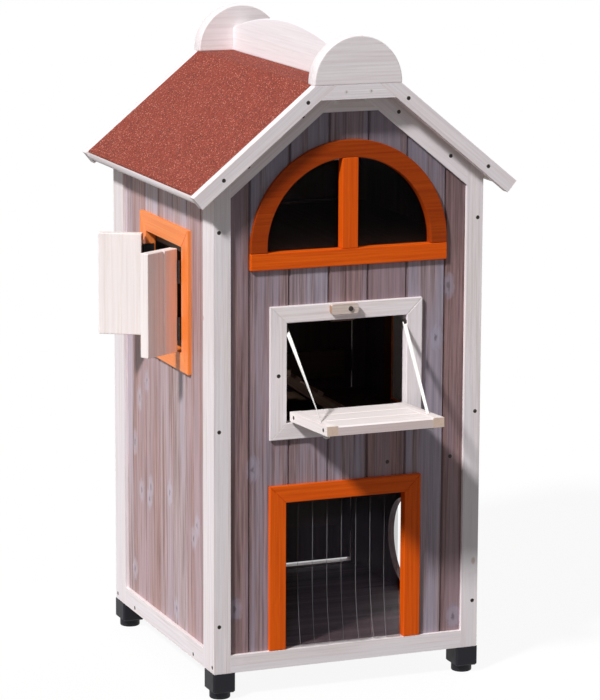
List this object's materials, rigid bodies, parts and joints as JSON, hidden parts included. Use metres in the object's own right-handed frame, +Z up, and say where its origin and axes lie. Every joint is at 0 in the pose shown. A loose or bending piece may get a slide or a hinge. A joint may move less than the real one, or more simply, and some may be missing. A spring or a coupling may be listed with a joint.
{
  "type": "cat house",
  "caption": "Free-standing boarded wooden cat house on feet, with a felted flat-ridged roof, arched window, drop-down flap, strip-curtain doorway and shuttered side windows",
  "frame": {"origin": "on the floor under the middle of the house's four walls", "axes": "+X to the house's right as seen from the front, +Y to the back, +Z up"},
  "size_m": [0.7185, 0.8428, 1.315],
  "materials": {
    "white_wood": "thin white glaze",
    "grey_wood": "grey-brown glaze",
    "orange_wood": "orange glaze",
    "bare_wood": "planed, unpainted",
    "plywood": "sanded plywood",
    "hinge_black": "black paint",
    "steel": "zinc plated",
    "felt_red": "mineral surfaced felt",
    "foot_black": "moulded",
    "clear_pane": "clear sheet",
    "clear_strip": "clear flexible strip",
    "cord_white": "braided cord"
  },
  "bodies": {
    "house": {"arch_frame": "orange_wood", "arch_mullion": "orange_wood", "arch_pane": "clear_pane", "arch_sill": "orange_wood", "arched_ridge_board": "white_wood", "back_bargeboards": "white_wood", "back_frame": "white_wood", "back_gable_boards": "grey_wood", "curtain_batten": "bare_wood", "curtain_rod": "steel", "doorway_frame": "orange_wood", "eave_strips": "white_wood", "feet": "foot_black", "flap_cord_left": "cord_white", "flap_cord_right": "cord_white", "flap_frame": "white_wood", "floor_bearers": "bare_wood", "frame_screws": "steel", "front_bargeboards": "white_wood", "front_boards": "grey_wood", "front_frame": "white_wood", "gable_fillers": "white_wood", "ground_floor": "plywood", "hinge_leaves": "hinge_black", "left_wall_boards": "grey_wood", "left_wall_frame": "white_wood", "left_window_frame": "orange_wood", "loft_floor": "plywood", "middle_floor": "plywood", "opening_stops": "bare_wood", "ramp": "bare_wood", "ridge_deck": "bare_wood", "ridge_discs": "white_wood", "right_wall_boards": "grey_wood", "right_wall_frame": "white_wood", "right_window_frame": "orange_wood", "roof_battens": "bare_wood", "roof_felt": "felt_red", "roof_panels": "bare_wood", "screws": "steel", "side_platform": "plywood"},
    "flap": {"flap_boards": "bare_wood", "flap_cleats": "bare_wood", "flap_screws": "steel", "flap_hinges": "hinge_black"},
    "flap_button": {"flap_button": "bare_wood"},
    "left_shutter_front": {"left_shutter_front": "white_wood", "left_shutter_front_hinges": "hinge_black"},
    "left_shutter_back": {"left_shutter_back": "white_wood", "left_shutter_back_hinges": "hinge_black"},
    "right_shutter_front": {"right_shutter_front": "white_wood", "right_shutter_front_hinges": "hinge_black"},
    "right_shutter_back": {"right_shutter_back": "white_wood", "right_shutter_back_hinges": "hinge_black"},
    "curtain": {"strip_curtain": "clear_strip"},
    "back_door": {"back_door_boards": "grey_wood", "back_door_ledges": "bare_wood", "back_door_hinges": "hinge_black"},
    "door_button": {"door_button": "bare_wood"}
  },
  "joints": [
    {"name": "flap_hinge", "type": "hinge", "parent": "house", "child": "flap", "pos_m": [-0.005, -0.3062, 0.555], "axis": [-1, 0, 0], "range_deg": [0, 87], "deforming": ["flap_cord_left", "flap_cord_right"]},
    {"name": "flap_button_turn", "type": "hinge", "parent": "house", "child": "flap_button", "pos_m": [-0.003, -0.3094, 0.7765], "axis": [0, -1, 0], "range_deg": [0, 90]},
    {"name": "left_shutter_front_hinge", "type": "hinge", "parent": "house", "child": "left_shutter_front", "pos_m": [-0.2882, -0.1135, 0.776], "axis": [0, 0, 1], "range_deg": [-120, 45]},
    {"name": "left_shutter_back_hinge", "type": "hinge", "parent": "house", "child": "left_shutter_back", "pos_m": [-0.2882, 0.0975, 0.776], "axis": [0, 0, -1], "range_deg": [-120, 45]},
    {"name": "right_shutter_front_hinge", "type": "hinge", "parent": "house", "child": "right_shutter_front", "pos_m": [0.2882, -0.1135, 0.598], "axis": [0, 0, -1], "range_deg": [0, 165]},
    {"name": "right_shutter_back_hinge", "type": "hinge", "parent": "house", "child": "right_shutter_back", "pos_m": [0.2882, 0.0975, 0.598], "axis": [0, 0, 1], "range_deg": [0, 165]},
    {"name": "curtain_swing", "type": "hinge", "parent": "house", "child": "curtain", "pos_m": [-0.005, -0.275, 0.392], "axis": [1, 0, 0], "range_deg": [-60, 60]},
    {"name": "back_door_hinge", "type": "hinge", "parent": "house", "child": "back_door", "pos_m": [0.2485, 0.3062, 0.537], "axis": [0, 0, -1], "range_deg": [0, 110]},
    {"name": "door_button_turn", "type": "hinge", "parent": "house", "child": "door_button", "pos_m": [-0.2675, 0.3094, 0.695], "axis": [0, 1, 0], "range_deg": [0, 90]}
  ]
}
